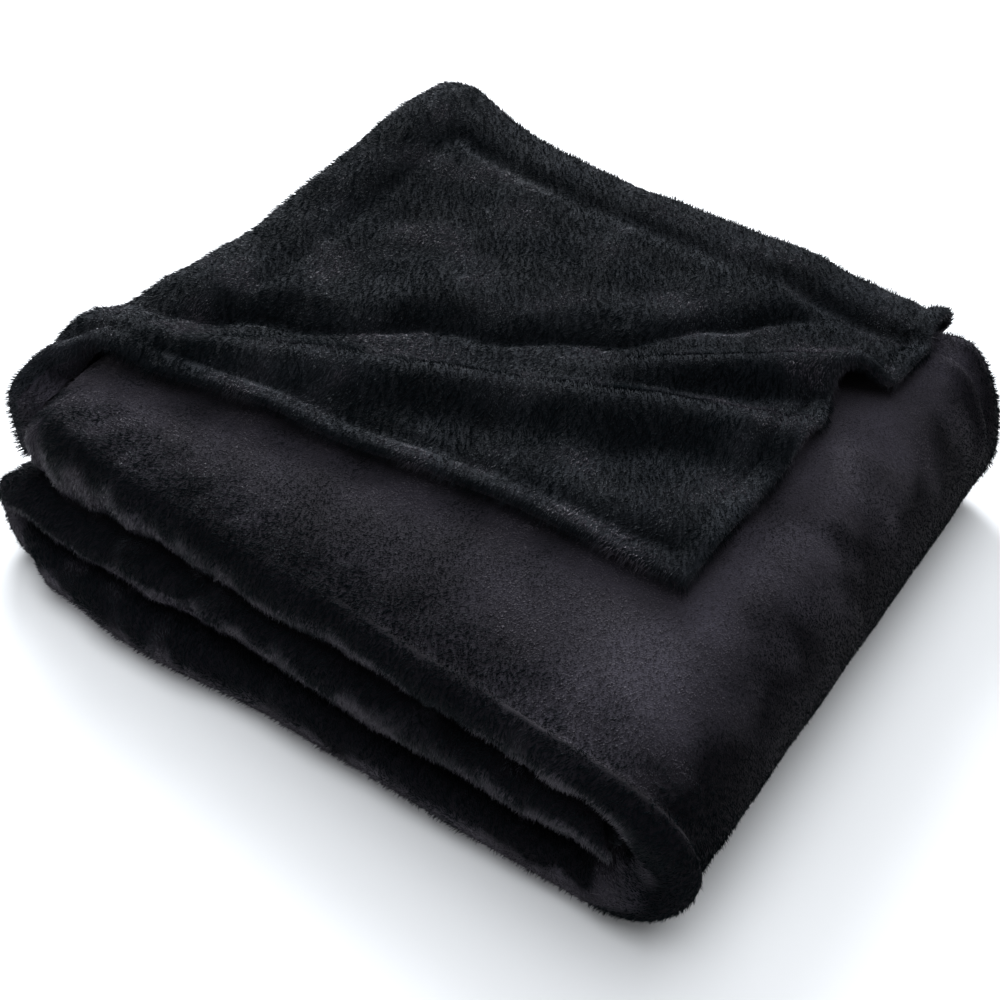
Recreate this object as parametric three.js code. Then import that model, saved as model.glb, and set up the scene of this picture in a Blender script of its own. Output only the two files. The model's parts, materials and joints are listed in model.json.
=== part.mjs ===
// A plush fleece throw, folded in quarters along its length and in thirds across it,
// with a single sheet of it turned over the top so that the long-piled reverse shows.
// Millimetres, +Z up. X runs along the long front, Y from the front to the back.
import * as THREE from 'three';

// The cloth
const thick = 7.2; // pile to pile
const pitch = 8.7; // from one ply to the next
const panelGap = 1.5; // between two folded panels
// The folded pack
const packLength = 430;
const packDepth = 388;
const leftReach = -20; // the lower left bend's outer face
const topEnd = -5; // where the top panel's plies end at the left
const hemShort = 1; // how far the hems inside the pack stop short of the inner back fold
const innerHemBack = 12; // the innermost hem stops this far short of the others
const nose = { clear: 1, taper: 3 }; // the middle panel's round end inside the right bend
const endRound = { reach: 30, draw: 9, thin: 0.18, front: 10, frontWide: 75, back: 14, backFrom: 70, backOver: 130 };
// The turned sheet, which rolls down past its left and back edges; an arc of 1 is a half turn
const leftEdge = 22;
const backEdge = 378;
const sheetClear = 1.6; // above the cover
const backRoll = { out: 24, rightOut: 21.5, from: 330, over: 40, length: 66, freeArc: 0.45, nextArc: 0.8 };
const joinRight = 342; // the sheet grows out of the top panel's third ply from leftEdge to here
const leftRoll = {
  out: 35, backOut: 29, from: 60, over: 240, bulge: 11, bulgeY: 100, bulgeWide: 40,
  length: 98, arc: 0.75, foot: 69, frontLower: 0.7, square: 0.6,
};
const rollSquare = 0.72; // under 1, the rolls are squarer than an ellipse
const rollCorner = 6; // how squarely the two rolls meet at the back left
// The drawn-out corner at the back left, and the thick back edge of the wrap at the back right
const backCorner = { wide: 66, out: 14, rise: 34, from: 180, over: 215, square: 4 };
const backRim = { x: 428, wide: 30, y: 394, deep: 66, rise: 38, upTo: 4 };
const hem = { swell: 0.35, wide: 12, leftSwell: 0.7, leftWide: 34, leftSoft: 50 }; // the turned-over edge is thicker
// The middle of the part's box, in the pack's own coordinates
const middle = { x: 204.98, y: 203.97 };

const half = thick / 2;
const outerPly = 1.5 * pitch;
const innerPly = 0.5 * pitch;
const bundle = outerPly + half; // half of a panel's thickness
const panelPitch = 2 * bundle + panelGap;
const bottomZ = bundle;
const middleZ = bottomZ + panelPitch;
const topZ = middleZ + panelPitch;
const bendX = packLength - panelPitch - bundle; // centre of the large right bend
const bendRadius = panelPitch + bundle; // outside of the right bend
const noseRadius = panelPitch - bundle - nose.clear;
const leftBendX = leftReach + panelPitch / 2 + bundle;
const coverZ = topZ + bundle;
const backFoldY = packDepth - innerPly - half;
const hemY = backFoldY - hemShort;

const same = (a, b) => Math.abs(a - b) < 1e-6;
const clamp = (v, low, high) => Math.min(high, Math.max(low, v));
const smooth = (v) => {
  const c = clamp(v, 0, 1);
  return c * c * (3 - 2 * c);
};
const mix = (a, b, s) => a + (b - a) * s;
const ramp = (v, from, over) => smooth((v - from) / over);
const bell = (off, wide) => Math.exp(-((off / wide) ** 2));

// A value from the rows of a table, eased between the rows on either side of x
function along(rows, key, x) {
  let n = 0;
  while (n < rows.length - 2 && rows[n + 1].x < x) n += 1;
  const [a, b] = [rows[n], rows[n + 1]];
  return mix(a[key], b[key], smooth((x - a.x) / (b.x - a.x)));
}

// The stretches of a folded line: straight runs, and bends about a centre
const run = (from, to, steps) => ({
  steps,
  at: (s) => ({ a: mix(from[0], to[0], s), b: mix(from[1], to[1], s) }),
});
const bend = (centre, radius, from, to, steps) => ({
  steps,
  at: (s) => {
    const angle = mix(from, to, s);
    return { a: centre[0] + radius * Math.cos(angle), b: centre[1] + radius * Math.sin(angle) };
  },
});

// Across the thirds, in X and Z: the middle panel from its inner end, the bottom panel, the top panel
const thirds = [
  run([bendX, middleZ], [leftBendX, middleZ], 8),
  bend([leftBendX, bottomZ + panelPitch / 2], panelPitch / 2, Math.PI / 2, Math.PI * 1.5, 8),
  run([leftBendX, bottomZ], [bendX, bottomZ], 8),
  bend([bendX, middleZ], panelPitch, -Math.PI / 2, Math.PI / 2, 10),
  run([bendX, topZ], [joinRight, topZ], 2),
  run([joinRight, topZ], [leftEdge, topZ], 17),
  run([leftEdge, topZ], [topEnd, topZ], 1),
];
// Along the quarters, in Y and in the height above a panel's middle: the outer fold holds the inner one
const lipY = bundle;
const quarters = [
  run([hemY - innerHemBack, -outerPly], [lipY, -outerPly], 5),
  bend([lipY, 0], outerPly, -Math.PI / 2, -Math.PI * 1.5, 8),
  run([lipY, outerPly], [backFoldY, outerPly], 6),
  bend([backFoldY, pitch], innerPly, Math.PI / 2, -Math.PI / 2, 4),
  run([backFoldY, innerPly], [lipY, innerPly], 6),
  bend([lipY, 0], innerPly, Math.PI / 2, Math.PI * 1.5, 4),
  run([lipY, -innerPly], [hemY, -innerPly], 5),
];

// A line's points, each with its direction
function trace(stretches) {
  const points = [];
  const small = 1e-4;
  stretches.forEach((stretch, n) => {
    const last = n === stretches.length - 1 ? stretch.steps : stretch.steps - 1;
    for (let k = 0; k <= last; k += 1) {
      const s = k / stretch.steps;
      const here = stretch.at(s);
      const [before, after] = [stretch.at(s - small), stretch.at(s + small)];
      const size = Math.hypot(after.a - before.a, after.b - before.b);
      points.push({ ...here, da: (after.a - before.a) / size, db: (after.b - before.b) / size });
    }
  });
  return points;
}

// How far each panel's folded front stands ahead of a straight line, how the cover sinks there,
// and how far the gap under the top panel hangs lower
const frontRows = [
  { x: -20, low: -17, mid: -14, high: -30, sink: 0.06, gap: 13 },
  { x: 10, low: -7, mid: -9, high: -24, sink: 0.07, gap: 16 },
  { x: 50, low: 6, mid: -6, high: -18, sink: 0.08, gap: 15 },
  { x: 110, low: 11, mid: -6, high: -14, sink: 0.1, gap: 8 },
  { x: 210, low: 3, mid: -4, high: -9, sink: 0.12, gap: 3 },
  { x: 300, low: 2, mid: -1, high: -5, sink: 0.15, gap: 0 },
  { x: 395, low: 0, mid: -2, high: -2, sink: 0.18, gap: 0 },
  { x: 430, low: -4, mid: -7, high: -5, sink: 0.2, gap: 0 },
];
const frontDepth = 160; // as far back as the fronts stand out of line
const gapLevel = { at: 1.5, wide: 0.74, depth: 110 }; // in panels above the lowest, and how far back
const sinkDepth = 90;
const backLift = { share: 0.02, from: 150, over: 220 };
const backSink = { share: 0.07, fromX: 240, overX: 140, fromY: 200, overY: 180 }; // of the back right corner
const lean = { front: 8, back: -12, bulge: 16 }; // how far the right side stands out, and more so lower down

// The settled height of the pack at z, as a share of its even height there
function slump(x, y, z) {
  const sink = along(frontRows, 'sink', x) * bell(Math.max(y, 0), sinkDepth) * (z / coverZ);
  const corner = ramp(x, backSink.fromX, backSink.overX) * ramp(y, backSink.fromY, backSink.overY);
  return 1 - sink - backSink.share * corner + backLift.share * ramp(y, backLift.from, backLift.over);
}

// How far the gap under the top panel hangs lower towards the front
const gapLower = (x, y) => along(frontRows, 'gap', x) * bell(Math.max(y, 0), gapLevel.depth);

// How far the back edge of the wrap stands above the cover
const rimRise = (x, y, z) => backRim.rise * bell(x - backRim.x, backRim.wide) * bell(y - backRim.y, backRim.deep)
  * (clamp(z, 0, coverZ) / coverZ) ** backRim.upTo;

// How far the pack leans sideways at a place
function sideways(x, y, z) {
  const back = clamp(y / packDepth, 0, 1);
  return (mix(lean.front, lean.back, back) + lean.bulge * back * (0.5 - z / coverZ)) * smooth(x / packLength);
}

// Moves a point of the even stack to where the soft stack really lies
function settle(p) {
  const low = along(frontRows, 'low', p.x);
  const mid = along(frontRows, 'mid', p.x);
  const high = along(frontRows, 'high', p.x);
  const level = (p.z - bottomZ) / panelPitch;
  const ahead = level < 1 ? mix(low, mid, smooth(level)) : mix(mid, high, smooth(level - 1));
  const y = p.y - ahead * smooth(1 - p.y / frontDepth);
  const lower = gapLower(p.x, y) * bell(level - gapLevel.at, gapLevel.wide) * smooth(p.z / panelPitch);
  const z = p.z * slump(p.x, y, p.z) - lower + rimRise(p.x, y, p.z);
  return new THREE.Vector3(p.x + sideways(p.x, y, p.z), y, z);
}

// Rounds the left end of the top panel
function roundEnd(p) {
  const near = smooth((topEnd + endRound.reach - p.x) / endRound.reach);
  const rise = p.z - topZ;
  p.x += endRound.draw * near * (rise / bundle) ** 2;
  p.x += endRound.front * near * smooth(1 - p.y / endRound.frontWide);
  p.x += endRound.back * near * ramp(p.y, endRound.backFrom, endRound.backOver);
  p.z -= endRound.thin * near * rise;
  return p;
}

// The two faces of the folded pack at a point of both lines
function packSpot(third, quarter) {
  const out = { x: third.db, z: -third.da }; // away from the wound pack
  const centre = {
    x: third.a + quarter.b * out.x,
    y: quarter.a,
    z: third.b + quarter.b * out.z,
  };
  const inner = same(third.b, middleZ) && third.da < 0;
  if (inner) {
    const reach = Math.sqrt(noseRadius ** 2 - (Math.abs(quarter.b) + half) ** 2);
    centre.x += reach * ((third.a - leftBendX) / (bendX - leftBendX)) ** nose.taper;
  }
  // along the thirds (third.da, 0, third.db), along the quarters (db * out.x, da, db * out.z)
  const across = new THREE.Vector3(third.da, 0, third.db);
  const down = new THREE.Vector3(quarter.db * out.x, quarter.da, quarter.db * out.z);
  const normal = across.cross(down).normalize().multiplyScalar(half);
  const faces = [1, -1].map((side) => {
    const face = new THREE.Vector3(centre.x, centre.y, centre.z).addScaledVector(normal, side);
    return settle(same(third.b, topZ) ? roundEnd(face) : face);
  });
  return { plush: faces[0], smooth: faces[1] };
}

// Folds of the turned sheet: ridges (up) and valleys, each from a start to an end
const folds = [
  { name: 'long ridge', x0: 10, y0: 92, x1: 345, y1: 222, rise0: 9, rise1: 13, wide0: 15, wide1: 20 },
  { name: 'arch ridge', x0: 215, y0: 198, x1: 356, y1: 297, rise0: 2, rise1: 18, wide0: 14, wide1: 12 },
  { name: 'near valley', x0: 60, y0: 124, x1: 366, y1: 262, rise0: -1, rise1: -3, wide0: 12, wide1: 15 },
  { name: 'hem ridge', x0: 250, y0: 124, x1: 362, y1: 142, rise0: 1, rise1: 3, wide0: 16, wide1: 20 },
];
// The raised field behind the folds: the line where it starts, its height, and more at the back edge
const fieldRows = [
  { x: 0, start: 112, lift: 8, back: 0 },
  { x: 76, start: 150, lift: 9, back: 0 },
  { x: 174, start: 205, lift: 7, back: 1 },
  { x: 234, start: 238, lift: 5, back: 2 },
  { x: 277, start: 292, lift: 5, back: 4 },
  { x: 313, start: 334, lift: 4, back: 1 },
  { x: 390, start: 362, lift: 0, back: 0 },
];
const fieldSoft = 42;
const backSoft = { from: 270, over: 90 };
const foldEnds = { before: 0.12, in: 0.2, past: 1.15, out: 0.15 }; // shares of a fold's length

// Where (x, y) lies by a line: its share along, and its distance to the left of it
function beside(line, x, y) {
  const dx = line.x1 - line.x0;
  const dy = line.y1 - line.y0;
  const size = Math.hypot(dx, dy);
  return {
    share: ((x - line.x0) * dx + (y - line.y0) * dy) / (size * size),
    off: ((y - line.y0) * dx - (x - line.x0) * dy) / size,
  };
}

// The turned sheet's height above the cover
function relief(x, y) {
  let rise = 0;
  for (const fold of folds) {
    const { share, off } = beside(fold, x, y);
    const s = clamp(share, 0, 1);
    const ends = smooth((share + foldEnds.before) / foldEnds.in) * smooth((foldEnds.past - share) / foldEnds.out);
    rise += mix(fold.rise0, fold.rise1, s) * ends * bell(off, mix(fold.wide0, fold.wide1, s));
  }
  rise += along(fieldRows, 'lift', x) * ramp(y, along(fieldRows, 'start', x), fieldSoft);
  rise += along(fieldRows, 'back', x) * ramp(y, backSoft.from, backSoft.over);
  rise += backCorner.rise * cornerShare(x) * ramp(y, backCorner.from, backCorner.over);
  return Math.max(0, rise);
}

// 1 at the back left corner, falling off to the right
const cornerShare = (x) => Math.exp((leftEdge - Math.max(x, leftEdge)) / backCorner.wide);

// The top of the cover under the sheet
function coverTop(x, y) {
  const evenX = x - sideways(x, y, coverZ);
  const past = clamp(evenX - bendX, 0, bendRadius - thick);
  const even = middleZ + Math.sqrt(bendRadius ** 2 - past ** 2);
  return even * slump(evenX, y, even) + rimRise(evenX, y, even);
}

// The sheet's right hem, where x is its distance from the front
const rightHem = [
  { x: 100, at: 370 },
  { x: 200, at: 368 },
  { x: 250, at: 364 },
  { x: 286, at: 354 },
  { x: 312, at: 376 },
  { x: 345, at: 377 },
  { x: 378, at: 370 },
];
const hemRight = 370;
const fixedColumns = 150; // columns left of this run straight back

// The sheet's front hem, by its distance from the left
const frontHem = [
  { x: -74, at: 30 },
  { x: -37, at: 36 },
  { x: 0, at: 64 },
  { x: 22, at: 82 },
  { x: 140, at: 97 },
  { x: 290, at: 109 },
  { x: 380, at: 108 },
];

// Half the sheet's thickness, which grows towards its turned-over edges
function sheetHalf(x, y) {
  const front = Math.max(0, y - along(frontHem, 'at', x));
  const right = Math.max(0, along(rightHem, 'at', y) - x);
  const edge = hem.swell * bell(Math.min(front, right), hem.wide);
  const left = hem.leftSwell * smooth((leftEdge - x) / hem.leftSoft) * bell(front, hem.leftWide);
  return half * (1 + edge + left);
}
const sheetHeight = (x, y) => coverTop(x, y) + sheetClear + sheetHalf(x, y) + relief(x, y);

// A point of the sheet: x and y count on past the left and back edges, where the sheet rolls down
function sheetPoint(x, y) {
  const base = { x: Math.max(x, leftEdge), y: Math.min(y, backEdge) };
  const top = sheetHeight(base.x, base.y);
  const toLeft = (leftRoll.arc * (base.x - x)) / leftRoll.length;
  const toBack = (y - base.y) / backRoll.length;
  if (toLeft === 0 && toBack === 0) return new THREE.Vector3(base.x, base.y, top);
  const angle = Math.PI * (toLeft ** rollCorner + toBack ** rollCorner) ** (1 / rollCorner);
  const turn = Math.atan2(toBack, toLeft);
  const [c, s] = [Math.cos(turn), Math.sin(turn)];
  const share = c ** 2;
  const leftOut = mix(leftRoll.out, leftRoll.backOut, ramp(base.y, leftRoll.from, leftRoll.over))
    + leftRoll.bulge * bell(base.y - leftRoll.bulgeY, leftRoll.bulgeWide);
  const squared = (Math.abs(c) ** backCorner.square + Math.abs(s) ** backCorner.square) ** (-1 / backCorner.square);
  const backOut = mix(backRoll.out, backRoll.rightOut, ramp(base.x, backRoll.from, backRoll.over))
    + backCorner.out * cornerShare(base.x);
  const out = squared * mix(backOut, leftOut, share);
  const square = mix(rollSquare, leftRoll.square, share);
  const plyZ = topZ - innerPly;
  const leftFoot = leftRoll.foot - leftRoll.frontLower * gapLower(base.x, base.y);
  const foot = mix(plyZ * slump(base.x, packDepth, plyZ), leftFoot, share);
  const reach = out * Math.max(0, Math.sin(angle)) ** square;
  const fall = Math.sign(Math.cos(angle)) * Math.abs(Math.cos(angle)) ** square;
  const z = foot + (top - foot) * 0.5 * (1 + fall);
  return new THREE.Vector3(base.x - reach * c, base.y + reach * s, z);
}

// The sheet's two faces at a point
function sheetSpot(x, y) {
  const small = 0.05;
  const across = sheetPoint(x - small, y).sub(sheetPoint(x + small, y));
  const down = sheetPoint(x, y - small).sub(sheetPoint(x, y + small));
  const normal = across.cross(down).normalize().multiplyScalar(sheetHalf(x, y));
  const centre = sheetPoint(x, y);
  return { plush: centre.clone().add(normal), smooth: centre.clone().sub(normal) };
}

// All the spots of the cloth, and the cells between them
const spots = [];
const cells = [];
const addSpot = (spot) => spots.push(spot) - 1;

const acrossLine = trace(thirds);
const alongLine = trace(quarters);
const pack = acrossLine.map((third) => alongLine.map((quarter) => addSpot(packSpot(third, quarter))));
for (let i = 0; i < acrossLine.length - 1; i += 1) {
  for (let j = 0; j < alongLine.length - 1; j += 1) {
    const underCorner = i === acrossLine.length - 2 && j === alongLine.length - 2;
    if (!underCorner) cells.push([pack[i][j], pack[i + 1][j], pack[i + 1][j + 1], pack[i][j + 1]]);
  }
}

// Columns of the sheet from right to left; those over the top panel's straight run join its third ply
const rightSteps = 2;
const leftSteps = 7;
const rollSteps = 7;
const fieldSteps = 24;
const columns = [];
for (let k = 0; k < rightSteps; k += 1) {
  const s = k / rightSteps;
  columns.push({ x: mix(hemRight, joinRight, s), rolled: mix(backRoll.freeArc, backRoll.nextArc, s) });
}
acrossLine.forEach((third, i) => {
  const overJoin = same(clamp(third.a, leftEdge, joinRight), third.a);
  if (overJoin && same(third.b, topZ)) columns.push({ x: third.a, rolled: 1, pack: pack[i][alongLine.length - 1] });
});
for (let k = 1; k <= leftSteps; k += 1) {
  columns.push({ x: leftEdge - (leftRoll.length * k) / leftSteps, rolled: 1, firstRow: 1 });
}
const sheet = columns.map((column) => {
  const line = [];
  for (let m = 0; m <= rollSteps + fieldSteps; m += 1) {
    const rolled = m <= rollSteps;
    const s = rolled ? 1 - m / rollSteps : (m - rollSteps) / fieldSteps;
    if (m === 0 && column.pack !== undefined) {
      line.push(column.pack);
      continue;
    }
    if (m < column.firstRow) {
      line.push(undefined);
      continue;
    }
    const y = rolled
      ? backEdge + backRoll.length * s * column.rolled
      : mix(backEdge, along(frontHem, 'at', column.x), s);
    const drawn = hemRight - along(rightHem, 'at', y);
    const x = column.x - drawn * smooth((column.x - fixedColumns) / (hemRight - fixedColumns));
    line.push(addSpot(sheetSpot(x, y)));
  }
  return line;
});
for (let k = 0; k < columns.length - 1; k += 1) {
  for (let m = 0; m < rollSteps + fieldSteps; m += 1) {
    const corners = [sheet[k][m], sheet[k + 1][m], sheet[k + 1][m + 1], sheet[k][m + 1]];
    if (!corners.includes(undefined)) cells.push(corners);
  }
}

// Closes the cloth: a face each side of every cell, and a rim along every open edge
function clothGeometry() {
  const position = [];
  for (const spot of spots) {
    for (const face of [spot.plush, spot.smooth]) {
      position.push(face.x - middle.x, face.y - middle.y, face.z);
    }
  }
  const index = [];
  const quad = (a, b, c, d) => index.push(a, b, c, a, c, d);
  const edges = new Map();
  for (const cell of cells) {
    quad(...cell.map((n) => 2 * n));
    quad(...cell.map((n) => 2 * n + 1).reverse());
    cell.forEach((from, n) => {
      const to = cell[(n + 1) % 4];
      if (!edges.delete(`${to},${from}`)) edges.set(`${from},${to}`, [from, to]);
    });
  }
  for (const [from, to] of edges.values()) quad(2 * to, 2 * from, 2 * from + 1, 2 * to + 1);
  const geometry = new THREE.BufferGeometry();
  geometry.setAttribute('position', new THREE.Float32BufferAttribute(position, 3));
  geometry.setIndex(index);
  geometry.computeVertexNormals();
  return geometry;
}

const fleece = new THREE.MeshStandardMaterial({ color: 0x0b0c0e, roughness: 0.95, metalness: 0 });
const blanket = new THREE.Mesh(clothGeometry(), fleece);
blanket.name = 'fleece_blanket';

const part = new THREE.Group();
part.add(blanket);
export default part;
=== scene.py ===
import functools
import json
import math

import bmesh
import bpy
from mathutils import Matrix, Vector, bvhtree, noise

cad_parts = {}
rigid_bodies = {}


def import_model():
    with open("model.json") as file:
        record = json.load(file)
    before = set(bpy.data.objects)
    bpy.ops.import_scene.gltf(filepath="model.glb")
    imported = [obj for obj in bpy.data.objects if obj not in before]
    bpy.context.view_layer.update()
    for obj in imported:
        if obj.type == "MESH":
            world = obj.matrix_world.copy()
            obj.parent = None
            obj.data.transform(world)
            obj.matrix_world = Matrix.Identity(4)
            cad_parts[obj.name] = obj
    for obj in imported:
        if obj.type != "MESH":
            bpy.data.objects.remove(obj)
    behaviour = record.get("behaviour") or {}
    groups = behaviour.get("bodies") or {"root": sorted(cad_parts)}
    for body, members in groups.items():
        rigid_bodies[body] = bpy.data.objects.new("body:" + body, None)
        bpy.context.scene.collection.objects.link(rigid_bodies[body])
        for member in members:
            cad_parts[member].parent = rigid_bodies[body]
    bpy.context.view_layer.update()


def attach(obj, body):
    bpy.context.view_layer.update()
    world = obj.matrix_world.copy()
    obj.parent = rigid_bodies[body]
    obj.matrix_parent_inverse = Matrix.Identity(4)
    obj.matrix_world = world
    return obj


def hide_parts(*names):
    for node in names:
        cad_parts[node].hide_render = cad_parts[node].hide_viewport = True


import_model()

mm = 0.001
blanketNode = "fleece_blanket"

# The folded cloth

pack = {
    "thick": 7.2,  # pile to pile
    "pitch": 8.7,  # from one ply to the next
    "panelGap": 1.5,
    "length": 430,
    "depth": 388,
    "leftReach": -20,  # the lower left bend's outer face
    "topEnd": -5,  # where the top panel's plies end at the left
    "hemShort": 1,  # the hems inside stop this far short of the inner back fold
    "innerHemBack": 12,  # and the innermost one this much more
    "noseClear": 1,  # the middle panel's round end inside the right bend
    "noseTaper": 3,
    "edgeRound": 0.42,  # the cut edges, as a share of the thickness
    "bareOver": 12, "evenOver": 30,  # how far up the room for the pile and the unevenness take to set in
    "middleX": 204.98,  # the middle of the part's box
    "middleY": 203.97,
}
endRound = {
    "reach": 30, "draw": 9, "thin": 0.18,
    "front": 10, "frontWide": 75, "back": 14, "backFrom": 70, "backOver": 130,
}
lean = {"front": 8, "back": -12, "bulge": 16}  # the right side leans out at the front, in at the back
slumping = {
    "frontDepth": 160,  # as far back as the fronts stand out of line
    "sinkDepth": 90,
    "backLift": 0.02, "liftFrom": 150, "liftOver": 220,
    "backSink": 0.07, "sinkFromX": 240, "sinkOverX": 140, "sinkFromY": 200, "sinkOverY": 180,
}
backRim = {"x": 428, "wide": 30, "y": 394, "deep": 66, "rise": 38, "upTo": 4}  # the wrap's thick back edge
# The turned sheet
turned = {
    "leftEdge": 22,
    "backEdge": 378,
    "clear": 1.6,  # above the cover
    "joinRight": 342,  # it grows out of the top panel's third ply as far as here
    "hemRight": 370,
    "straightTo": 150,  # left of this its columns run straight back
    "fieldLength": 285,
}
backRoll = {
    "out": 24, "rightOut": 21.5, "from": 330, "over": 40, "length": 66,
    "freeArc": 0.45, "freeEase": 1.46,  # the part past the joined cloth lies flatter
}
leftRoll = {
    "out": 35, "backOut": 29, "from": 60, "over": 240, "bulge": 11, "bulgeY": 100, "bulgeWide": 40,
    "length": 98, "arc": 0.75, "foot": 69, "frontLower": 0.7, "square": 0.6,
    "curl": 0.13, "curlY": 60, "curlWide": 60,  # its front end curls further in
    "fill": 13, "fillFrom": 18, "fillTo": 70, "fillLess": 0.7,  # and it is fatter inside, up to its edge
}
pileDeep = 1.5  # the cloth itself is this much thinner on each side
rollSquare = 0.72  # under 1, the rolls are squarer than an ellipse
rollCorner = 6  # how squarely the two rolls meet at the back left
backCorner = {"wide": 66, "out": 14, "rise": 34, "from": 180, "over": 215, "square": 7}
hem = {"swell": 0.35, "wide": 12, "leftSwell": 0.7, "leftWide": 34, "leftSoft": 50}
# How far apart the vertices are on the flat cloth, and how far in the hidden plies are still fine
spacing = {
    "seen": 4.5, "hidden": 40, "lowPanels": 8, "leftBend": 3, "rightBend": 3, "lip": 2.3, "smallBend": 2.4,
    "fineIn": 30,
}
sameSpot = 0.01  # places on the flat cloth closer than this are one place

half = pack["thick"] / 2
outerPly = 1.5 * pack["pitch"]
innerPly = 0.5 * pack["pitch"]
bundle = outerPly + half  # half of a panel's thickness
panelPitch = 2 * bundle + pack["panelGap"]
bottomZ = bundle
middleZ = bottomZ + panelPitch
topZ = middleZ + panelPitch
bendX = pack["length"] - panelPitch - bundle
bendRadius = panelPitch + bundle  # outside of the right bend
noseRadius = panelPitch - bundle - pack["noseClear"]
leftRadius = panelPitch / 2
leftBendX = pack["leftReach"] + leftRadius + bundle
coverZ = topZ + bundle
backFoldY = pack["depth"] - innerPly - half
hemY = backFoldY - pack["hemShort"]
lipY = bundle


def clamp(v, low, high):
    return min(high, max(low, v))


def smooth(v):
    c = clamp(v, 0, 1)
    return c * c * (3 - 2 * c)


def mix(a, b, s):
    return a + (b - a) * s


def ramp(v, start, over):
    return smooth((v - start) / over)


def bell(off, wide):
    return math.exp(-((off / wide) ** 2))


def bumps(deep, wide, seed, stretch=1):
    return {"deep": deep, "wide": wide, "seed": seed, "stretch": stretch}


def uneven(a, b, sizes):
    # soft noise at a place of the cloth, with its bumps stretched along b
    spot = Vector((a / sizes["wide"], b / (sizes["stretch"] * sizes["wide"]), sizes["seed"]))
    return sizes["deep"] * noise.noise(spot)


def along(rows, key, x):
    # a value from the rows of a table, eased between the rows on either side of x
    n = 0
    while n < len(rows) - 2 and rows[n + 1]["x"] < x:
        n += 1
    a, b = rows[n], rows[n + 1]
    return mix(a[key], b[key], smooth((x - a["x"]) / (b["x"] - a["x"])))


def table(columns, *rows):
    return [dict(zip(columns.split(), row)) for row in rows]


def run(start, end, step):
    return {"start": start, "end": end, "length": math.dist(start, end), "step": step}


def bend(centre, radius, fromAngle, toAngle, step):
    length = radius * abs(toAngle - fromAngle)
    found = {"centre": centre, "radius": radius, "from": fromAngle, "to": toAngle}
    return {**found, "length": length, "step": step}


def stations(line):
    # the distances along a line at which it gets its vertices
    found, base = [0.0], 0.0
    for part in line:
        count = max(1, round(part["length"] / part["step"]))
        found += [base + part["length"] * (k + 1) / count for k in range(count)]
        base += part["length"]
    return found


def pointOn(line, distance):
    # (a, b, da, db): the place and the direction of a line, at a distance along it
    n = 0
    while n < len(line) - 1 and distance > line[n]["length"]:
        distance -= line[n]["length"]
        n += 1
    part = line[n]
    s = distance / part["length"]
    if "start" in part:
        (a0, b0), (a1, b1) = part["start"], part["end"]
        return mix(a0, a1, s), mix(b0, b1, s), (a1 - a0) / part["length"], (b1 - b0) / part["length"]
    angle = mix(part["from"], part["to"], s)
    way = 1 if part["to"] > part["from"] else -1
    a = part["centre"][0] + part["radius"] * math.cos(angle)
    b = part["centre"][1] + part["radius"] * math.sin(angle)
    return a, b, -way * math.sin(angle), way * math.cos(angle)


# Across the thirds, in X and Z: the middle panel from its inner end, the bottom panel, the top panel
thirds = [
    run((bendX, middleZ), (leftBendX, middleZ), spacing["lowPanels"]),
    bend((leftBendX, bottomZ + leftRadius), leftRadius, math.pi / 2, math.pi * 1.5, spacing["leftBend"]),
    run((leftBendX, bottomZ), (bendX, bottomZ), spacing["lowPanels"]),
    bend((bendX, middleZ), panelPitch, -math.pi / 2, math.pi / 2, spacing["rightBend"]),
    run((bendX, topZ), (turned["joinRight"], topZ), spacing["seen"]),
    run((turned["joinRight"], topZ), (turned["leftEdge"], topZ), spacing["seen"]),
    run((turned["leftEdge"], topZ), (pack["topEnd"], topZ), spacing["seen"]),
]
# Along the quarters, in Y and in the height above a panel's middle: the outer fold holds the inner one
innerHemY = hemY - pack["innerHemBack"]
nearLip = lipY + spacing["fineIn"]
nearBack = hemY - spacing["fineIn"]
quarters = [
    run((innerHemY, -outerPly), (nearLip, -outerPly), spacing["hidden"]),
    run((nearLip, -outerPly), (lipY, -outerPly), spacing["seen"]),
    bend((lipY, 0), outerPly, -math.pi / 2, -math.pi * 1.5, spacing["lip"]),
    run((lipY, outerPly), (backFoldY, outerPly), spacing["seen"]),
    bend((backFoldY, pack["pitch"]), innerPly, math.pi / 2, -math.pi / 2, spacing["smallBend"]),
    run((backFoldY, innerPly), (nearBack, innerPly), spacing["seen"]),
    run((nearBack, innerPly), (lipY, innerPly), spacing["hidden"]),
    bend((lipY, 0), innerPly, math.pi / 2, math.pi * 1.5, spacing["smallBend"]),
    run((lipY, -innerPly), (nearBack, -innerPly), spacing["hidden"]),
    run((nearBack, -innerPly), (hemY, -innerPly), spacing["seen"]),
]
flat = {
    "across": sum(part["length"] for part in thirds),
    "down": sum(part["length"] for part in quarters),
    "topStart": sum(part["length"] for part in thirds[:4]),  # where the top panel's straight run starts
    "cornerCut": 72.5,  # the third ply's own corner under the roll
    "cornerLift": 9.4,
}


# How the soft stack really lies

# How far each panel's folded front stands ahead of a straight line, how the cover sinks there,
# and how far the gap under the top panel hangs lower
frontRows = table(
    "x low mid high sink gap",
    (-20, -17, -14, -30, 0.06, 13),
    (10, -7, -9, -24, 0.07, 16),
    (50, 6, -6, -18, 0.08, 15),
    (110, 11, -6, -14, 0.1, 8),
    (210, 3, -4, -9, 0.12, 3),
    (300, 2, -1, -5, 0.15, 0),
    (395, 0, -2, -2, 0.18, 0),
    (430, -4, -7, -5, 0.2, 0),
)
gapLevel = {"at": 1.5, "wide": 0.74, "depth": 110}  # in panels above the lowest, and how far back


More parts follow.
